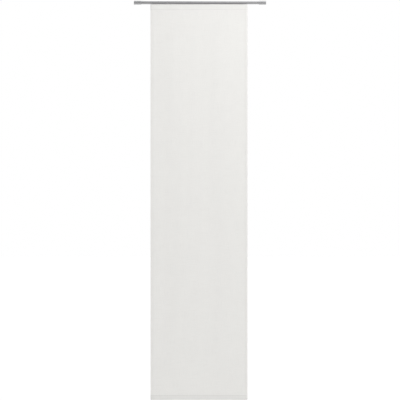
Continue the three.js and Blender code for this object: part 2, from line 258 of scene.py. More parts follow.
def profile_along_x(name, outlines, start, end, edge=FINE_RADIUS, edge_steps=3):
    """Outlines in (y, z), the outer one anticlockwise and holes clockwise, carried along X.
    At each end they draw in by edge (1 - sin a) as they go the last edge (1 - cos a), a
    quarter circle, and a flat face closes them."""
    angle = np.linspace(0, math.pi / 2, edge_steps + 1)
    inset = edge * (1 - np.sin(angle))
    place = edge * (1 - np.cos(angle))
    steps = max(round((end - start) / STATION_PITCH), 1)
    between = np.linspace(start + edge, end - edge, steps + 1)
    stations = np.hstack([start + place[:-1], between, end - place[-2::-1]])
    insets = np.hstack([inset[:-1], np.zeros_like(between), inset[-2::-1]])
    points, faces, first, caps = [], [], 0, []
    for outline in outlines:
        flat = outline[None] - outward(outline)[None] * insets[:, None, None]
        points.append(together(stations[:, None], flat[..., 0], flat[..., 1]).reshape(-1, 3))
        faces += grid_faces(len(stations), len(outline), first, close_columns=True).tolist()
        caps.append((first, len(outline), flat[0]))
        first += len(stations) * len(outline)
    loops = [[Vector((y, z, 0)) for y, z in flat] for _, _, flat in caps]
    near = np.hstack([begin + np.arange(count) for begin, count, _ in caps])
    shift = np.hstack([np.full(count, (len(stations) - 1) * count) for _, count, _ in caps])
    for triangle in tessellate_polygon(loops):
        chosen = np.array(triangle)
        faces.append(near[chosen].tolist())
        faces.append((near + shift)[chosen][::-1].tolist())
    return mesh_of(name, np.vstack(points), faces)


def turned(name, profile, place, axis, segments=96):
    """A profile of (radius, distance along the axis) turned about the X or Z axis through a
    place: (along, r cos a, r sin a) about X, and (r cos a, r sin a, along) about Z."""
    angle = np.linspace(0, math.tau, segments, endpoint=False)
    radius, along = profile.T[..., None]
    across, up = radius * np.cos(angle), radius * np.sin(angle)
    order = (along, across, up) if axis == "X" else (across, up, along)
    points = together(*order) + np.asarray(place)
    return mesh_of(name, points, grid_faces(len(profile), segments, close_columns=True))


def open_profile(corners, radius):
    """A turned profile from axis to axis with rounded corners: it is closed through its
    mirror image about the axis, rounded, and cut back to the side that is kept."""
    corners = np.asarray(corners, dtype=float)
    on_axis = corners[:, 0] <= 0
    radii = np.where(on_axis, 0, radius)
    returning = ~on_axis[::-1]
    closed = np.vstack([corners, (corners[::-1] * [-1, 1])[returning]])
    outline = rounded(closed, np.hstack([radii, radii[::-1][returning]]))
    kept = outline[outline[:, 0] >= 0]
    first = int(np.argmin(np.linalg.norm(kept - corners[0], axis=1)))
    return np.roll(kept, -first, axis=0)


def placed(name, data):
    """A new object in the scene."""
    obj = bpy.data.objects.new(name, data)
    bpy.context.scene.collection.objects.link(obj)
    return obj


def applied(obj):
    """Works an object's modifiers into its mesh."""
    graph = bpy.context.evaluated_depsgraph_get()
    mesh = bpy.data.meshes.new_from_object(obj.evaluated_get(graph))
    mesh.name = obj.name
    obj.modifiers.clear()
    obj.data = mesh


def combined(piece, tool_mesh, operation):
    """Joins a mesh to a piece or cuts it out of it, with nothing but the result kept."""
    tool = placed("tool", tool_mesh)
    step = piece.modifiers.new("combined", "BOOLEAN")
    step.object = tool
    step.operation = operation
    step.solver = "EXACT"
    applied(piece)
    bpy.data.objects.remove(tool)
    bpy.data.meshes.remove(tool_mesh)
    with reworked(piece.data) as work:
        merge_doubles(work)
    smoothed(piece.data)


def drilled(piece, place, way, radius, length):
    """Cuts a round hole into a piece, from a place inside it and out along a way."""
    profile = np.array([(0, 0), (radius, 0), (radius, length), (0, length)])
    mesh = turned("drill", profile, (0, 0, 0), "Z", segments=40)
    mesh.transform(Matrix.Translation(place) @ Vector(way).to_track_quat("Z", "Y").to_matrix().to_4x4())
    combined(piece, mesh, "DIFFERENCE")


def mirrored(mesh, name):
    """A copy of a mesh with x turned to -x and its faces turned outwards again."""
    image = mesh.copy()
    image.name = name
    image.transform(Matrix.Diagonal((-1, 1, 1, 1)))
    with reworked(image) as work:
        face_outwards(work)
    return image


def add_piece(mesh, body, look, *nodes):
    """Puts a mesh into the scene, under its own name, as a piece that rides on a body and
    stands for nodes. Its look is a material and the slot that the material goes by; the slot is
    not used."""
    finish, slot = look
    obj = placed(mesh.name, mesh)
    mesh.materials.clear()
    mesh.materials.append(finish)
    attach(obj, body)
    if nodes:
        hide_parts(*nodes)
    return obj


# Shader node helpers

PATTERN_OUTPUTS = ("Colour", "Height", "Roughness")
WHITE = (1, 1, 1, 1)


class Value:
    """An output of a shader node. Sums, differences and products of values are Math nodes, so
    that a pattern is written as its formula."""

    def __init__(self, node, output=0):
        self.tree = node.id_data
        self.socket = node.outputs[output]

    def __add__(self, other):
        return calc("ADD", self, other)

    def __sub__(self, other):
        return calc("SUBTRACT", self, other)

    def __rsub__(self, other):
        return calc("SUBTRACT", other, self)

    def __mul__(self, other):
        return calc("MULTIPLY", self, other)


def add_node(tree, kind, *values, **named):
    """A shader node. Its inputs are set, or linked to a value or to a node's first output, by
    place or by name, with _ for a space. A name in small letters is a setting of the node."""
    node = tree.nodes.new("ShaderNode" + kind)
    inputs = dict(enumerate(values))
    for name, value in named.items():
        if name.islower():
            setattr(node, name, value)
        else:
            inputs[name.replace("_", " ")] = value
    for name, value in inputs.items():
        if isinstance(value, bpy.types.Node):
            value = Value(value)
        if isinstance(value, Value):
            tree.links.new(value.socket, node.inputs[name])
        else:
            node.inputs[name].default_value = value
    return node


def calc(operation, *values):
    """The value of a Math node."""
    tree = next(value.tree for value in values if isinstance(value, Value))
    return Value(add_node(tree, "Math", *values, operation=operation))


def parts(vector):
    """The X, Y and Z of a vector."""
    split = add_node(vector.tree, "SeparateXYZ", vector)
    return [Value(split, axis) for axis in range(3)]


def scaled(vector, *scale):
    """A vector with each of its parts scaled."""
    return Value(add_node(vector.tree, "VectorMath", vector, scale, operation="MULTIPLY"))


def shaded(colour, value):
    """A colour multiplied by a value."""
    return Value(add_node(colour.tree, "VectorMath", colour, operation="SCALE", Scale=value))


def noise(vector, scale=1.0, detail=2.0, roughness=0.5):
    """The value of a Noise texture, from 0 to 1."""
    links = {"Vector": vector, "Scale": scale, "Detail": detail, "Roughness": roughness}
    return Value(add_node(vector.tree, "TexNoise", **links))


def spread(value, low, high, to_low, to_high):
    """A value from low to high mapped to one from to_low to to_high, and held there."""
    links = {"Value": value, "From_Min": low, "From_Max": high, "To_Min": to_low, "To_Max": to_high}
    return Value(add_node(value.tree, "MapRange", clamp=True, **links))


def node_group(name, outputs, **inputs):
    """A shader node group with its sockets, and its inputs as values. A colour's default is a
    tuple, a number's is a number, and a vector has None."""
    group = bpy.data.node_groups.new(name, "ShaderNodeTree")
    kinds = {tuple: "NodeSocketColor", float: "NodeSocketFloat", type(None): "NodeSocketVector"}
    for label, default in inputs.items():
        label, kind = label.replace("_", " "), kinds[type(default)]
        socket = group.interface.new_socket(name=label, in_out="INPUT", socket_type=kind)
        if default is not None:
            socket.default_value = default
    for label in outputs:
        kind = kinds[tuple if label == "Colour" else float]
        group.interface.new_socket(name=label, in_out="OUTPUT", socket_type=kind)
    given = group.nodes.new("NodeGroupInput")
    return group, [Value(given, place) for place in range(len(inputs))]


def closed_group(group, *values):
    """The group with its outputs linked to values, in their order."""
    result = group.nodes.new("NodeGroupOutput")
    for place, value in enumerate(values):
        group.links.new(value.socket, result.inputs[place])
    return group


def woven_group():
    """Cloth: a plain weave, slubs along both threads as stretched noise, and a faint cloudy
    tone. With c = sin u sin v, which changes sign from one crossing to the next, a warp
    thread stands |sin u| (1 + c) / 2 high and a weft thread |sin v| (1 - c) / 2. The higher
    one shows. The threads wander a little from side to side. The colour carries painted shade
    between the threads: it is darker where the weave is low and lighter where it is high."""
    group, (place, colour, threads, slub_tone, cloud_tone) = node_group(
        "woven_cloth", PATTERN_OUTPUTS, Place=None, Colour=WHITE, Threads_per_metre=1200.0,
        Slub_tone=0.04, Cloud_tone=0.02,
    )
    wander = 0.0012
    mean_height, weave_painted_shade = 0.52, 0.06
    turns = threads * math.pi

    def thread_phase(position, *stretch):
        drift = noise(scaled(place, *stretch), detail=1.0) - 0.5
        return calc("SINE", (position + drift * wander) * turns)

    def thick_places(*stretch):
        return spread(noise(scaled(place, *stretch)), 0.5, 0.78, 0.0, 1.0)

    x, y, _ = parts(place)
    warp = thread_phase(x, 90.0, 25.0, 1.0)
    weft = thread_phase(y, 25.0, 90.0, 1.0)
    over = (warp * weft + 1.0) * 0.5
    weave = calc("MAXIMUM", calc("ABSOLUTE", warp) * over, calc("ABSOLUTE", weft) * (1.0 - over))
    slubs = thick_places(420.0, 14.0, 1.0) + thick_places(14.0, 420.0, 1.0)
    cloud = (noise(place, 9.0, 3.0, 0.6) - 0.5) * cloud_tone
    # Painted shade: the weave's low places are darker and its high ones lighter.
    tone = (1.0 - slubs * slub_tone) + (cloud + (weave - mean_height) * weave_painted_shade)
    rough = spread(weave, 0.2, 1.0, 0.96, 0.82)
    return closed_group(group, shaded(colour, tone), weave * 0.35 + slubs * 0.65, rough)


def seam_group():
    """What a seam does to cloth that lies flat: a groove exp(-(d/w)^2) along the line of
    stitches, and puckers across it that die out a few millimetres away. The groove also gives
    painted shade: the Shade output darkens the colour along it by a share."""
    group, (distance, along, groove_painted_shade) = node_group(
        "seam_pucker_and_painted_shade", ("Height", "Shade"), Distance=0.0, Along=0.0, Groove_tone=GROOVE_PAINTED_SHADE
    )
    groove_width, pucker_width, pucker_pitch = 0.0011, 0.0045, 0.0085

    def bell(width):
        return calc("EXPONENT", calc("POWER", calc("DIVIDE", distance, width), 2.0) * -1.0)

    drift = noise(Value(add_node(group, "CombineXYZ", X=along)), 40.0)
    phase = along * (math.tau / pucker_pitch) + drift * 9.0
    groove = bell(groove_width)
    height = calc("SINE", phase) * bell(pucker_width) * 0.35 - groove
    # Painted shade: the colour is darkened along the groove, by its share.
    return closed_group(group, height, 1.0 - groove * groove_painted_shade)


def brushed_group():
    """Metal brushed along X: noise drawn out along X in fine and coarse lines, and faint
    cloudy handling marks."""
    group, (place, colour, roughness, line_tone) = node_group(
        "brushed_metal", PATTERN_OUTPUTS, Place=None, Colour=WHITE, Roughness=0.3, Line_tone=0.05
    )
    fine = noise(scaled(place, 6.0, 6500.0, 6500.0), roughness=0.6)
    coarse = noise(scaled(place, 2.5, 1500.0, 1500.0), detail=1.0)
    marks = noise(place, 26.0, 4.0, 0.65)
    lines = fine * 0.6 + coarse * 0.4
    tone = (lines - 0.5) * line_tone + 1.0
    change = spread(lines, 0.3, 0.7, -0.05, 0.06) + spread(marks, 0.4, 0.7, -0.02, 0.03)
    return closed_group(group, shaded(colour, tone), lines, roughness + change)


def moulded_group():
    """Moulded plastic: a fine eroded grain, and slow changes of tone and gloss where the
    melt flowed."""
    group, (place, colour, roughness) = node_group(
        "moulded_plastic", PATTERN_OUTPUTS, Place=None, Colour=WHITE, Roughness=0.45
    )
    grain = noise(place, 5200.0)
    flow = noise(place, 130.0, 3.0, 0.55)
    tone = spread(flow, 0.3, 0.7, 0.97, 1.02)
    rough = roughness + spread(flow, 0.3, 0.7, -0.06, 0.08)
    return closed_group(group, shaded(colour, tone), grain, rough)


# Finishes

CLOTH_COLOUR = (0.82, 0.813, 0.792)
CLOTH_TRANSLUCENCY = 0.12
CLOTH_RELIEF = 0.0004
WEAVE_SHARE = 0.12
# Painted shade: the share that the pocket's cloth is darkened by, for the light from behind that the
# weight bar holds off.
POCKET_PAINTED_SHADE = 0.965
# Painted shade in the seam grooves: how much the colour darkens at a groove's middle, less at the side
# seams.
GROOVE_PAINTED_SHADE = 0.12
SIDE_GROOVE_PAINTED_SHADE = 0.05

WOVEN = woven_group()
SEAM = seam_group()
BRUSHED = brushed_group()
MOULDED = moulded_group()


def blank_material(name):
    """A material without nodes, and its node tree."""
    finish = bpy.data.materials.new(name)
    finish.use_nodes = True
    tree = finish.node_tree
    tree.nodes.clear()
    return finish, tree


def object_place(tree):
    """A place on the object, in metres."""
    return Value(add_node(tree, "TexCoord"), "Object")


def patterned(tree, pattern, place, colour, **values):
    """The colour, height and roughness of a pattern group at a place."""
    node = add_node(tree, "Group", node_tree=pattern, Place=place, Colour=(*colour, 1), **values)
    return [Value(node, name) for name in PATTERN_OUTPUTS]


def surface(colour, height, rough, relief, **values):
    """A Principled shader whose surface is raised by a height times a relief in metres, and
    its normal."""
    tree = colour.tree
    normal = Value(add_node(tree, "Bump", Height=height, Distance=relief, Strength=1.0))
    links = {"Base_Color": colour, "Roughness": rough, "Normal": normal}
    return add_node(tree, "BsdfPrincipled", **links, **values), normal


def metal(name, colour, roughness, relief, line_tone=0.05, lathe=False):
    """Aluminium or steel with lines drawn along X. Where it was turned, they are drawn round
    it, along the first part of (across, along the rod, distance from the rod's axis)."""
    finish, tree = blank_material(name)
    place = object_place(tree)
    if lathe:
        x, y, z = parts(place)
        squares = calc("POWER", y, 2.0) + calc("POWER", z - AXIS_Z, 2.0)
        place = Value(add_node(tree, "CombineXYZ", y, x, calc("SQRT", squares)))
    brushed = patterned(tree, BRUSHED, place, colour, Roughness=roughness, Line_tone=line_tone)
    add_node(tree, "OutputMaterial", surface(*brushed, relief, Metallic=1.0)[0])
    return finish


def plastic(name, colour, roughness, relief):
    """Moulded plastic."""
    finish, tree = blank_material(name)
    moulded = patterned(tree, MOULDED, object_place(tree), colour, Roughness=roughness)
    add_node(tree, "OutputMaterial", surface(*moulded, relief)[0])
    return finish


def narrow_woven(name, colour, threads, relief):
    """Tape or thread: a close weave on Object coordinates, with no light coming through."""
    finish, tree = blank_material(name)
    x, _, z = parts(object_place(tree))
    flat = Value(add_node(tree, "CombineXYZ", x, z))
    tones = {"Threads_per_metre": threads, "Slub_tone": 0.02, "Cloud_tone": 0.04}
    woven = patterned(tree, WOVEN, flat, colour, **tones)
    add_node(tree, "OutputMaterial", surface(*woven, relief, Sheen_Weight=0.2)[0])
    return finish


def panel_textile(top_seam, bottom_seam, bottom_hem):
    """The panel's cloth. Its pattern follows the flat cut, in metres, where the seams and the
    bottom hem are at given distances along it. Light from behind comes through a little, so
    that its hems look darker. The cloth of the pocket is painted a shade darker as well, as
    painted shade for the light from behind that the weight bar holds off, and the seams'
    grooves carry painted shade."""
    finish, tree = blank_material("panel_textile")
    cut = Value(add_node(tree, "UVMap", uv_map="cut"))
    across, along, _ = parts(cut)
    tones = {"Threads_per_metre": 1250.0, "Slub_tone": 0.035, "Cloud_tone": 0.03}
    colour, height, rough = patterned(tree, WOVEN, cut, CLOTH_COLOUR, **tones)
    # Painted shade over the pocket: the colour is darkened from the top of the bottom hem on along the
    # cut.
    colour = shaded(colour, spread(along, bottom_hem, bottom_hem + SEAM_MARGIN, 1.0, POCKET_PAINTED_SHADE))
    height = height * WEAVE_SHARE
    # Each seam: the distance from it, the way along it, and the share of its painted shade.
    seams = [
        (calc("ABSOLUTE", across) - SIDE_SEAM, along, SIDE_GROOVE_PAINTED_SHADE),
        (along - top_seam, across, GROOVE_PAINTED_SHADE),
        (along - bottom_seam, across, GROOVE_PAINTED_SHADE),
    ]
    for distance, run, tone in seams:
        links = {"Distance": distance, "Along": run, "Groove_tone": tone}
        seam = add_node(tree, "Group", node_tree=SEAM, **links)
        height = height + Value(seam, "Height")
        # Painted shade along each seam's groove.
        colour = shaded(colour, Value(seam, "Shade"))
    sheen = {"Sheen_Weight": 0.15, "Sheen_Roughness": 0.6, "Specular_IOR_Level": 0.25}
    shader, normal = surface(colour, height, rough, CLOTH_RELIEF, **sheen)
    through = add_node(tree, "BsdfTranslucent", Color=colour, Normal=normal)
    add_node(tree, "OutputMaterial", add_node(tree, "MixShader", CLOTH_TRANSLUCENCY, shader, through))
    return finish


# The cloth's path from the inner edge of its top hem, over the top fold, down the front,
# round the weight bar and up to the turned-in edge of its bottom hem.


def cloth_path():
    """The cloth's middle line in (y, z), made of straight stretches, half circles of the
    folds, and an S curve behind the weight bar."""
    bend = LAYER_STEP / 2
    top_bend = CLOTH_HIGH.z - CLOTH_THICKNESS / 2 - bend
    pocket = BAR_HIGH.y - BAR_LOW.y + 2 * CLEARANCE + CLOTH_THICKNESS
    low_bend = CLOTH_LOW.z + CLOTH_THICKNESS / 2 + pocket / 2
    back_y = FRONT_Y + pocket
    seam_y = FRONT_Y + 2 * LAYER_STEP
    shoulder = BAR_HIGH.z
    neck = BOTTOM_HEM_TOP - TURN_IN
    hem_bend = BOTTOM_HEM_TOP - CLOTH_THICKNESS / 2 - bend
    share = np.linspace(0, 1, 13)[:, None]
    ease = (neck - shoulder) / 2
    controls = [(back_y, shoulder), (back_y, shoulder + ease), (seam_y, neck - ease), (seam_y, neck)]
    weights = [(1 - share) ** 3, 3 * share * (1 - share) ** 2, 3 * share**2 * (1 - share), share**3]
    s_curve = sum(weight * np.array(control) for weight, control in zip(weights, controls))
    return run_together(
        line((FRONT_Y + LAYER_STEP, TOP_HEM_FOOT), (FRONT_Y + LAYER_STEP, top_bend), 6),
        arc((FRONT_Y + bend, top_bend), bend, 0, math.pi, 8),
        line((FRONT_Y, top_bend), (FRONT_Y, TOP_HEM_FOOT + HEM_STEP), 6),
        line((FRONT_Y, TOP_HEM_FOOT), (FRONT_Y, BOTTOM_HEM_TOP), CLOTH_ROWS),
        line((FRONT_Y, BOTTOM_HEM_TOP - HEM_STEP), (FRONT_Y, low_bend), 6),
        arc((FRONT_Y + pocket / 2, low_bend), pocket / 2, math.pi, math.tau, 14),
        line((back_y, low_bend), (back_y, shoulder), 4),
        s_curve,
        line((seam_y, neck), (seam_y, hem_bend), 2),
        arc((seam_y - bend, hem_bend), bend, 0, math.pi, 8),
        line((seam_y - LAYER_STEP, hem_bend), (seam_y - LAYER_STEP, neck), 2),
    )


def cut_at(path, height):
    """How far along the cut the front of the cloth is at a height."""
    along = length_along(path)
    front = np.abs(path[:, 0] - FRONT_Y) < MERGE_WITHIN
    return float(np.interp(-height, -path[front, 1], along[front]))


COCKLE_HEIGHT = 0.00022
COCKLE_REACH = 0.014
CURL_HEIGHT = 0.0012
EDGE_WAVE_HEIGHT = 0.0004
# The waves across the panel: height, half turns over half its width, phase, and how far they
# wander and turn with the way down.
WAVES = [(0.0011, 2.0, 0.9, 1.0, 0.0), (0.0004, 4.3, -1.3, 1.4, 0.0), (0.00013, 9.1, 0.0, 0.0, 2.0)]


def eased(share):
    """A share held between 0 and 1 that starts and ends gently, 3 s^2 - 2 s^3."""
    held = np.clip(share, 0, 1)
    return held**2 * (3 - 2 * held)


def cockle(x, reach):
    """The puckers that a hem's stitches draw into the cloth beside it: short waves along x
    whose height is a exp(1 - a) of the full one, where a is the share of their reach."""
    away = np.clip(reach / COCKLE_REACH, 0, None)
    waves = np.sin(math.tau * x / 0.047) + 0.7 * np.sin(math.tau * x / 0.031 + 1.1)
    return COCKLE_HEIGHT * away * np.exp(1 - away) * waves


def ripple(x, z):
    """How far the hanging cloth stands off its flat place, in y: three slow waves across
    the panel that wander with height, a slow curl of the side edges with the short waves
    that their stitches draw in, and the cockles below and above the hems. It dies out at
    both hems, which the carrier and the weight bar hold straight."""
    below, above = TOP_HEM_FOOT - z, z - BOTTOM_HEM_TOP
    down = below / (TOP_HEM_FOOT - BOTTOM_HEM_TOP)
    u = (x - PANEL_X) / HALF_WIDTH
    wander = 0.5 * np.sin(2.1 * math.pi * down + 0.6)
    waves = sum(
        height * np.sin(turns * math.pi * u + phase + sway * wander + fall * math.pi * down)
        for height, turns, phase, sway, fall in WAVES
    )
    curl = CURL_HEIGHT * np.abs(u) ** 6 * np.sin(5.0 * math.pi * down + 1.2 * np.sign(u))
    drawn_in = np.sin(math.tau * z / 0.118 + 2.6 * u) + 0.6 * np.sin(math.tau * z / 0.071 - 1.9 * u)
    curl += EDGE_WAVE_HEIGHT * np.abs(u) ** 9 * drawn_in
    slow = eased(below / 0.22) * eased(above / 0.28)
    return slow * (waves + curl) + cockle(x, below) + cockle(x + 0.013, above)


CLOTH_PATH = cloth_path()
ALONG_CUT = length_along(CLOTH_PATH)

# Looks: a material and the slot that it goes by.
SILVER = metal("brushed_silver", (0.66, 0.66, 0.67), 0.3, 0.00002), "silver_rod"
CAP_SILVER = metal("turned_silver", (0.68, 0.68, 0.69), 0.27, 0.00001, 0.06, lathe=True), "silver_rod"
ANODISED = metal("anodised_extrusion", (0.7, 0.7, 0.71), 0.42, 0.00001), "anodised_metal"
STEEL = metal("screw_steel", (0.5, 0.5, 0.51), 0.35, 0.00001, 0.12), "steel_screw"
WHITE_PLASTIC = plastic("white_moulding", (0.84, 0.84, 0.83), 0.42, 0.00002), "white_plastic"
CUT_MARKS = [cut_at(CLOTH_PATH, height) for height in (TOP_SEAM_Z, BOTTOM_SEAM_Z, BOTTOM_HEM_TOP)]
TEXTILE = panel_textile(*CUT_MARKS), "panel_cloth"
THREAD = narrow_woven("sewing_thread", (0.82, 0.81, 0.78), 4000.0, 0.00003), "panel_cloth"
TAPE_CLOTH = narrow_woven("fastening_tape", (0.84, 0.84, 0.82), 1500.0, 0.00012), "fastening_tape"


# The rod and what closes its ends


def chamber_outline(clearance):
    """The closed chamber over the web as a clockwise outline, so that it reads as a hole."""
    middle, radius = (0, AXIS_Z), BORE_RADIUS - clearance
    roof = math.asin((-AXIS_Z - ROD_WALL - clearance) / radius)
    floor = math.asin((-ROD_WEB_DROP + ROD_WALL + clearance) / radius)
    right = arc(middle, radius, floor, roof, 24)
    left = arc(middle, radius, math.pi - roof, math.pi - floor, 24)
    return rounded(np.vstack([right, left]), BLOCK_RADIUS)[::-1]


def rod_outline():
    """The rod's outside with its flat land, its slot, its two lips and its running channel."""
    land = math.asin(-AXIS_Z / ROD_RADIUS)
    slot_edge = math.acos(ROD_SLOT / 2 / ROD_RADIUS)
    lip = math.asin(-RUNWAY / BORE_RADIUS)
    web = math.asin(ROD_WEB_DROP / BORE_RADIUS)
    middle = (0, AXIS_Z)
    corners = [
        arc(middle, ROD_RADIUS, -slot_edge, land, 60),
        arc(middle, ROD_RADIUS, math.pi - land, math.pi + slot_edge, 60),
        [(-ROD_SLOT / 2, AXIS_Z + RUNWAY)],
        arc(middle, BORE_RADIUS, math.pi + lip, math.pi + web, 20),
        arc(middle, BORE_RADIUS, -web, -lip, 20),
        [(ROD_SLOT / 2, AXIS_Z + RUNWAY)],
    ]
    return rounded(np.vstack(corners), EDGE_RADIUS)


def make_rod():
    outlines = [rod_outline(), chamber_outline(0)]
    mesh = profile_along_x("rod_tube", outlines, ROD_LOW.x, ROD_HIGH.x, edge=0.00015)
    add_piece(mesh, "rod_set", SILVER, "rod")


def cap_profile():
    """A cap's profile as (radius, distance from its inner face): recess, bore, ring grooves
    and a rounded outer edge."""
    radius = (CAP_HIGH.y - CAP_LOW.y) / 2
    length = CAP_HIGH.x - CAP_LOW.x
    corners = [
        (0, CAP_BORE_DEPTH), (CAP_BORE, CAP_BORE_DEPTH), (CAP_BORE, CAP_RECESS_DEPTH),
        (CAP_RECESS, CAP_RECESS_DEPTH), (CAP_RECESS, 0), (radius, 0),
    ]
    radii = [0, EDGE_RADIUS, EDGE_RADIUS, EDGE_RADIUS, FINE_RADIUS, CAP_FACE_RADIUS]
    slope, bed = CAP_RING_DEPTH / 2, radius - CAP_RING_DEPTH
    for ring in range(1, CAP_RINGS + 1):
        near = ring * CAP_RING_PITCH - CAP_RING_WIDTH / 2
        far = near + CAP_RING_WIDTH
        corners += [(radius, near - slope), (bed, near), (bed, far), (radius, far + slope)]
        radii += [FINE_RADIUS, EDGE_RADIUS, EDGE_RADIUS, FINE_RADIUS]
    corners += [(radius, length), (0, length)]
    radii += [CAP_END_RADIUS, 0]
    return open_profile(corners, radii)


def make_caps():
    """Each cap is turned about X, mirrored at the left end, and drilled from the back."""
    profile = cap_profile()
    for hand, side in HANDS:
        face = side * CAP_LOW.x
        mesh = turned(f"cap_{hand}", profile * [1, side], (face, 0, AXIS_Z), "X", segments=128)
        cap = add_piece(mesh, "rod_set", CAP_SILVER, f"end_cap_{hand}")
        place = (face + side * CAP_SCREW_PLACE, CAP_BORE / 2, AXIS_Z)
        drilled(cap, place, (0, 1, 0), CAP_SCREW_HOLE, 2 * ROD_RADIUS)


def make_plugs():
    """The right plug is turned about X, a flange and a stub with a chamfered end, and joined
    to a shank carried along X that fills the rod's chamber. The left one is its mirror image."""
    length = PLUG_FLANGE + PLUG_STUB
    stub = CAP_BORE - CLEARANCE
    flange = CAP_RECESS - CLEARANCE
    corners = [
        (0, 0), (flange, 0), (flange, PLUG_FLANGE), (stub, PLUG_FLANGE),
        (stub, length - PLUG_CHAMFER), (stub - PLUG_CHAMFER, length), (0, length),
    ]
    mesh = turned("plug_right", open_profile(corners, FINE_RADIUS), (CAP_LOW.x, 0, AXIS_Z), "X")
    plug = add_piece(mesh, "rod_set", WHITE_PLASTIC, "cap_plug_right")
    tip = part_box("cap_plug_right")[0].x
    shank_end = CAP_LOW.x + PLUG_FLANGE / 2
    outline = chamber_outline(CLEARANCE)[::-1]
    shank = profile_along_x("shank", [outline], tip, shank_end, edge=EDGE_RADIUS)
    combined(plug, shank, "UNION")
    add_piece(mirrored(plug.data, "plug_left"), "rod_set", WHITE_PLASTIC, "cap_plug_left")


def make_end_stops():
    """A stop is a block with rounded edges in the running channel, drilled for its screw."""
    for hand, _ in HANDS:
        low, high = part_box(f"end_stop_{hand}")
        corners = [(low.y, low.z), (high.y, low.z), (high.y, high.z), (low.y, high.z)]
        outline = rounded(corners, BLOCK_RADIUS)
        mesh = profile_along_x(f"stop_block_{hand}", [outline], low.x, high.x, edge=EDGE_RADIUS)
        stop = add_piece(mesh, "rod_set", WHITE_PLASTIC, f"end_stop_{hand}")
        middle = (low + high) / 2
        drilled(stop, (middle.x, middle.y, low.z - 0.001), (0, 0, 1), STOP_SCREW_HOLE, 0.01)


# The gliders, the carrier, the tapes and the weight bar


def make_gliders():
    """A glider is turned about Z: foot, neck, collar, neck and a domed head."""
    neck, collar = GLIDER_NECK, GLIDER_COLLAR
    groove_top = CARRIER_HIGH.z - CARRIER_WALL
    foot = (CARRIER_HIGH.y - CARRIER_LOW.y) / 2 - CARRIER_WALL - CLEARANCE
    collar_foot = CARRIER_HIGH.z + CLEARANCE
    collar_top = AXIS_Z - ROD_RADIUS - CLEARANCE
    for number in range(1, GLIDERS + 1):
        low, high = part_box(f"glider_{number}")
        middle = (low + high) / 2
        head, top = (high.x - low.x) / 2, high.z
        foot_top, head_foot = groove_top - CLEARANCE, top - GLIDER_HEAD_HEIGHT
        brim, crown = (head, top - 0.0009), (head - 0.0012, top - 0.0002)
        corners = [
            (0, low.z), (foot, low.z), (foot, foot_top), (neck, foot_top),
            (neck, collar_foot), (collar, collar_foot), (collar, collar_top), (neck, collar_top),
            (neck, head_foot), (head, head_foot), brim, crown, (0, top),
        ]
        profile = open_profile(corners, 0.00025)
        mesh = turned(f"glider_moulding_{number}", profile, (middle.x, middle.y, 0), "Z", segments=48)
        add_piece(mesh, "panel", WHITE_PLASTIC, f"glider_{number}")


def make_carrier():
    """The carrier's section has a grooved head, a flat fin and a bead at its foot."""
    front, back = CARRIER_LOW.y, CARRIER_HIGH.y
    top, foot = CARRIER_HIGH.z, CARRIER_LOW.z
    fin, bead = front + FIN_THICKNESS, foot + BEAD_HEIGHT
    groove_top = top - CARRIER_WALL
    groove_floor = groove_top - FOOT_HEIGHT - 2 * CLEARANCE
    head_foot = groove_floor - CARRIER_WALL
    mouth = GLIDER_NECK + CLEARANCE
    groove = back - CARRIER_WALL
    corners = [
        (front, foot), (fin + BEAD_DEPTH, foot), (fin + BEAD_DEPTH, bead), (fin, bead),
        (fin, head_foot), (back, head_foot), (back, top), (mouth, top), (mouth, groove_top),
        (groove, groove_top), (groove, groove_floor), (-groove, groove_floor),
        (-groove, groove_top), (-mouth, groove_top), (-mouth, top), (front, top),
    ]
    outline = rounded(corners, EDGE_RADIUS)
    mesh = profile_along_x("carrier_profile", [outline], CARRIER_LOW.x, CARRIER_HIGH.x)
    add_piece(mesh, "panel", ANODISED, "carrier")


def pile_strip(name, node, pile_side, seed):
    """A tape as a closed skin: columns along X, and round its section a flat back, two thin
    edges and a face whose pile stands up by a seeded random height."""
    low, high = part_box(node)
    chance = np.random.default_rng(seed)
    columns, rows = 420, 22
    selvedge, base = 0.0018, 0.0006
    z = np.linspace(low.z, high.z, rows)
    inside = np.clip(np.minimum(z - low.z, high.z - z) / selvedge, 0, 1)
    rise = np.where(inside >= 1, 1.0, inside * 0.2)
    x = np.linspace(low.x, high.x, columns)[:, None]
    full = high.y - low.y
    stand = base + (full - base) * rise * (0.72 + 0.28 * chance.random((columns, rows)))
    stand[[0, -1]] = base
    back, forward = (low.y, 1) if pile_side > 0 else (high.y, -1)
    ring = np.hstack([together(x, back + forward * stand, z), together(x, back, z)[:, ::-1]])
    faces = grid_faces(columns, 2 * rows, close_columns=True).tolist()
    first = np.arange(2 * rows)
    faces += [first.tolist(), (first + (columns - 1) * 2 * rows)[::-1].tolist()]
    add_piece(mesh_of(name, ring, faces), "panel", TAPE_CLOTH, node)


def bar_outline(inset):
    """A flat oval on edge: two half circles joined by straight sides, anticlockwise."""
    radius = (BAR_HIGH.y - BAR_LOW.y) / 2
    middle_y = (BAR_HIGH.y + BAR_LOW.y) / 2
    upper = arc((middle_y, BAR_HIGH.z - radius), radius - inset, 0, math.pi, 20)
    lower = arc((middle_y, BAR_LOW.z + radius), radius - inset, math.pi, math.tau, 20)
    return np.vstack([upper, lower])


def make_weight_bar():
    outlines = [bar_outline(0), bar_outline(BAR_WALL)[::-1]]
    mesh = profile_along_x("weight_bar_tube", outlines, BAR_LOW.x, BAR_HIGH.x, edge=FINE_RADIUS / 2)
    add_piece(mesh, "panel", ANODISED, "weight_bar")


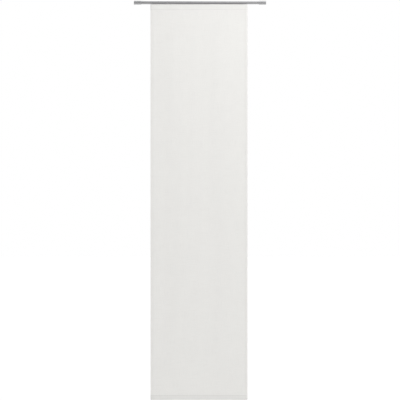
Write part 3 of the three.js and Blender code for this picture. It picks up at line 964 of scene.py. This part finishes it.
def eased_copy(node, name, body, look, width):
    """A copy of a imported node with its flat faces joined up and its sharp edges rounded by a
    bevel, in place of the node."""
    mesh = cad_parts[node].data.copy()
    mesh.name = name
    with reworked(mesh) as work:
        merge_doubles(work)
        bmesh.ops.dissolve_limit(work, angle_limit=math.radians(1), verts=work.verts, edges=work.edges)
        sharp = [edge for edge in work.edges if edge.calc_face_angle(0) > math.radians(40)]
        bmesh.ops.bevel(work, geom=sharp, offset=width, segments=2, affect="EDGES", clamp_overlap=True)
        bmesh.ops.dissolve_degenerate(work, dist=MERGE_WITHIN, edges=work.edges)
        face_outwards(work)
    add_piece(smoothed(mesh), body, look, node)


# The cloth and its stitches


def make_cloth():
    """The cut is a grid: across it runs s, and down it runs v along the cloth's path. The
    point (s, v) lies at x = s, on the path at v, moved in y by the ripple. Between the hems
    each side runs on round the side hem: two half circles and two straight stretches."""
    y, z = CLOTH_PATH.T
    on_front = np.abs(y - FRONT_Y) < MERGE_WITHIN
    between = on_front & (z < TOP_HEM_FOOT + MERGE_WITHIN) & (z > BOTTOM_HEM_TOP - MERGE_WITHIN)
    half = np.where(between, OUTER_BEND, HALF_WIDTH)
    x = half[:, None] * np.linspace(-1, 1, CLOTH_COLUMNS + 1)
    lift = ripple(x + PANEL_X, z[:, None]) * between[:, None]
    points = [together(x + PANEL_X, y[:, None] + lift, z[:, None]).reshape(-1, 3)]
    places = [together(x, ALONG_CUT[:, None]).reshape(-1, 2)]
    faces = [grid_faces(*x.shape)]
    hem = run_together(
        arc((OUTER_BEND, LAYER_STEP), LAYER_STEP, -math.pi / 2, math.pi / 2, 6),
        line((OUTER_BEND, 2 * LAYER_STEP), (INNER_BEND, 2 * LAYER_STEP), 3),
        arc((INNER_BEND, 1.5 * LAYER_STEP), LAYER_STEP / 2, math.pi / 2, 1.5 * math.pi, 6),
        line((INNER_BEND, LAYER_STEP), (OUTER_BEND, LAYER_STEP), 3),
    )
    hem_x, hem_y = hem.T
    beyond = OUTER_BEND + length_along(hem)
    height, down = z[between][:, None], ALONG_CUT[between][:, None]
    for _, side in HANDS:
        x = side * hem_x + PANEL_X
        strip = together(x, FRONT_Y + hem_y + ripple(x, height), height)
        place = together(side * beyond, down)
        start = sum(len(block) for block in points)
        faces.append(grid_faces(*strip.shape[:2], start)[:, ::side])
        points.append(strip.reshape(-1, 3))
        places.append(place.reshape(-1, 2))
    blocks = (np.vstack(block) for block in (points, faces, places))
    mesh = mesh_of("curtain_cloth", *blocks, smooth_below=math.radians(75))
    cloth = add_piece(mesh, "panel", TEXTILE, "panel_cloth")
    wall = cloth.modifiers.new("cloth_thickness", "SOLIDIFY")
    wall.thickness = CLOTH_THICKNESS
    wall.offset = 0
    wall.use_even_offset = True
    applied(cloth)


def stitch_row(name, middles, along, out):
    """A row of stitches. Each is a short thread, four rings of five points: the ring at t
    from -1 to 1 stands off by r (0.55 - 0.8 t^2) and has the radius r (1 - 0.55 t^2)."""
    rings, points = 4, 5
    middles, along, out = (part[:, None, None] for part in (middles, along, out))
    t = np.array([-1, -0.4, 0.4, 1])[:, None, None]
    angle = np.linspace(0, math.tau, points, endpoint=False)[:, None]
    aside = np.cross(along, out)
    reach = (STITCH_PITCH - STITCH_GAP) / 2
    centre = middles + along * t * reach + out * THREAD_RADIUS * (0.55 - 0.8 * t**2)
    radius = THREAD_RADIUS * (1 - 0.55 * t**2)
    thread = centre + radius * (np.cos(angle) * out + np.sin(angle) * aside)
    starts = np.arange(len(thread))[:, None, None] * rings * points
    sides = (grid_faces(rings, points, close_columns=True)[None] + starts).reshape(-1, 4).tolist()
    near = (np.arange(points)[::-1] + starts[:, 0]).tolist()
    far = (np.arange((rings - 1) * points, rings * points) + starts[:, 0]).tolist()
    add_piece(mesh_of(name, thread, sides + near + far), "panel", THREAD)


def straight_seam(middles, back_y):
    """The middles, directions and outward directions of a seam's stitches, front and back."""
    out = np.repeat([(0, -1.0, 0), (0, 1.0, 0)], len(middles), axis=0)
    middles = np.vstack([middles + [0, shift, 0] for shift in (-CLOTH_THICKNESS / 2, back_y)])
    return middles, np.broadcast_to((1, 0, 0), middles.shape), out


def side_seam(x):
    """The stitches of a side hem at x, all along the cut: down the front, round the foot and
    up the back of the bottom hem on the cloth's face, and between the hems on its back too."""
    top_fold = cut_at(CLOTH_PATH, CLOTH_HIGH.z - STITCH_PITCH)
    low_fold = float(ALONG_CUT[CLOTH_PATH[:, 1] >= BOTTOM_HEM_TOP - LAYER_STEP][-1])
    places = np.arange(top_fold, low_fold - STITCH_PITCH - TURN_IN, STITCH_PITCH)
    reach = STITCH_PITCH / 4
    y, z, before_y, before_z, after_y, after_z = (
        np.interp(places + shift, ALONG_CUT, CLOTH_PATH[:, axis])
        for shift in (0, -reach, reach)
        for axis in (0, 1)
    )
    ahead = unit(together(0, after_y - before_y, after_z - before_z))
    out = together(0, ahead[:, 2], -ahead[:, 1])
    hanging = (y < FRONT_Y + MERGE_WITHIN) & (z < TOP_HEM_FOOT) & (z > BOTTOM_HEM_TOP)
    face = together(x, y + np.where(hanging, ripple(x, z), 0), z)
    rear = face[hanging] + [0, 2 * LAYER_STEP + CLOTH_THICKNESS / 2, 0]
    return (
        np.vstack([face + out * CLOTH_THICKNESS / 2, rear]),
        np.vstack([ahead, ahead[hanging]]),
        np.vstack([out, -out[hanging]]),
    )


def make_stitches():
    """Lockstitch along the top seam, the bottom seam and both side seams. It lies on the
    front of the cloth and on the back of the last layer that it goes through."""
    x = np.arange(-HALF_WIDTH + STITCH_PITCH, HALF_WIDTH - STITCH_PITCH / 2, STITCH_PITCH) + PANEL_X
    rows = {"top_stitches": (TOP_SEAM_Z, LAYER_STEP), "foot_stitches": (BOTTOM_SEAM_Z, 2 * LAYER_STEP)}
    for name, (height, layers) in rows.items():
        middles = together(x, FRONT_Y, height)
        stitch_row(name, *straight_seam(middles, layers + CLOTH_THICKNESS / 2))
    for hand, side in HANDS:
        stitch_row(f"side_stitches_{hand}", *side_seam(side * SIDE_SEAM + PANEL_X))


# The stage

PHOTO_HEIGHT = 400
METRES_PER_PIXEL = 0.0061885
PHOTO_TOP_OF_CAPS = 0.54
LENS = 200.0
SENSOR = 36.0
FLOOR_DROP = 0.15
FLOOR_REACH = 40.0
FLOOR_PALE = 0.9
# Painted reflection: the grey that shiny surfaces see in the floor.
FLOOR_PAINTED_REFLECTION = 0.62
FLOOR_GLOW = 0.3
ROOM_IN_METAL = (0.29, 1.0)
KEY_WATTS = 9.8
SIDE_WATTS = 26.2
SCREEN_WATTS = 17.5
SCREEN_SIZE = 3.4
WINDOW_STRENGTH = 0.73
BACK_WINDOW_STRENGTH = 0.375
WINDOW_SPREAD = math.radians(40)
DAYLIGHT = 0.682


def make_camera():
    """A long lens straight in front, at the height of the photograph's middle row."""
    camera = bpy.data.cameras.new("camera")
    camera.lens = LENS
    camera.sensor_width = SENSOR
    camera.clip_end = 100
    view = placed("camera", camera)
    distance = PHOTO_HEIGHT * METRES_PER_PIXEL * LENS / SENSOR
    middle = CAP_HIGH.z - (PHOTO_HEIGHT / 2 - PHOTO_TOP_OF_CAPS) * METRES_PER_PIXEL
    view.location = (0, FRONT_Y - distance, middle)
    view.rotation_euler = (math.pi / 2, 0, 0)
    bpy.context.scene.camera = view


def make_floor():
    """A pale floor under the panel that reads as white to the camera, apart from shadow. Shiny
    surfaces see it in a darker grey, a painted reflection that darkens the underside of the rod."""
    steps = np.linspace(-FLOOR_REACH, FLOOR_REACH, 9)
    points = together(steps, steps[:, None], CLOTH_LOW.z - FLOOR_DROP).reshape(-1, 3)
    mesh = bpy.data.meshes.new("floor")
    mesh.from_pydata(points.tolist(), [], grid_faces(len(steps), len(steps)).tolist())
    finish, tree = blank_material("floor_white")
    path = add_node(tree, "LightPath")
    tones = (FLOOR_PALE, FLOOR_PAINTED_REFLECTION)
    # Painted reflection: shiny surfaces see the floor in a darker grey than it is.
    pale, grey = (add_node(tree, "BsdfDiffuse", Color=(tone, tone, tone, 1)) for tone in tones)
    diffuse = add_node(tree, "MixShader", Value(path, "Is Glossy Ray"), pale, grey)
    glow = add_node(tree, "Emission", Color=WHITE, Strength=Value(path, "Is Camera Ray") * FLOOR_GLOW)
    add_node(tree, "OutputMaterial", add_node(tree, "AddShader", diffuse, glow))
    mesh.materials.append(finish)
    placed("floor", mesh)


def make_world():
    """White to the camera. Shiny surfaces see it white behind, above and at the sides, and
    greyer towards the front of the room. It lights matt surfaces evenly."""
    world = bpy.data.worlds.new("studio")
    world.use_nodes = True
    tree = world.node_tree
    tree.nodes.clear()
    depth = parts(Value(add_node(tree, "TexCoord"), "Generated"))[1]
    room = spread(depth, -0.8, 0.3, *ROOM_IN_METAL)
    path = add_node(tree, "LightPath")
    shiny = calc("MAXIMUM", Value(path, "Is Glossy Ray"), Value(path, "Is Transmission Ray"))
    strengths = (DAYLIGHT, room, 1.0)
    even, seen, white = (add_node(tree, "Background", Color=WHITE, Strength=part) for part in strengths)
    lit = add_node(tree, "MixShader", shiny, even, seen)
    add_node(tree, "OutputWorld", add_node(tree, "MixShader", Value(path, "Is Camera Ray"), lit, white))
    bpy.context.scene.world = world


def add_light(name, kind, energy, way, **settings):
    """A light that shines one way and that shiny surfaces don't show."""
    lamp = bpy.data.lights.new(name, kind)
    lamp.energy = energy
    for key, value in settings.items():
        setattr(lamp, key, value)
    light = placed(name, lamp)
    light.rotation_euler = Vector(way).to_track_quat("-Z", "Y").to_euler()
    light.visible_glossy = False
    return light


def soft_light(name, place, aim, size, watts):
    """A square area light at a place, aimed at a point, and out of the picture."""
    light = add_light(name, "AREA", watts, Vector(aim) - Vector(place), size=size)
    light.location = place
    light.visible_camera = False
    return light


def make_lights():
    """A near lamp high on the right, a larger one at its side, and even light from windows
    in front and behind. Only shiny surfaces show the screen, whose left edge is over the
    middle of the rod, so that the rod grows lighter to the right."""
    soft_light("key", (0.9, -1.6, 0.7), (0, 0, -0.5), 1.0, KEY_WATTS)
    soft_light("side", (3.2, -3.3, -1.0), (0, 0, -1.2), 2.4, SIDE_WATTS)
    half = SCREEN_SIZE / 2
    screen = soft_light("screen", (half, -1.25, 1.6), (half, 0, 0), SCREEN_SIZE, SCREEN_WATTS)
    screen.visible_glossy, screen.visible_diffuse = True, False
    add_light("window", "SUN", WINDOW_STRENGTH, (-0.6, 1.0, -0.5), angle=WINDOW_SPREAD)
    add_light("back_window", "SUN", BACK_WINDOW_STRENGTH, (0.5, -1.0, -0.6), angle=WINDOW_SPREAD)


make_rod()
make_caps()
make_plugs()
make_end_stops()
make_gliders()
make_carrier()
pile_strip("hook_strip", "hook_tape", -1, seed=11)
pile_strip("loop_strip", "loop_tape", 1, seed=12)
make_weight_bar()
make_cloth()
make_stitches()
for hand, _ in HANDS:
    eased_copy(f"carrier_end_{hand}", f"carrier_cap_{hand}", "panel", WHITE_PLASTIC, FINE_RADIUS)
    eased_copy(f"bar_plug_{hand}", f"bar_end_{hand}", "panel", WHITE_PLASTIC, FINE_RADIUS)
    eased_copy(f"cap_screw_{hand}", f"grub_screw_{hand}", "rod_set", STEEL, FINE_RADIUS / 2)
    eased_copy(f"stop_screw_{hand}", f"lock_screw_{hand}", "rod_set", STEEL, FINE_RADIUS / 2)
make_floor()
make_world()
make_lights()
make_camera()
bpy.context.scene.view_settings.view_transform = "Standard"
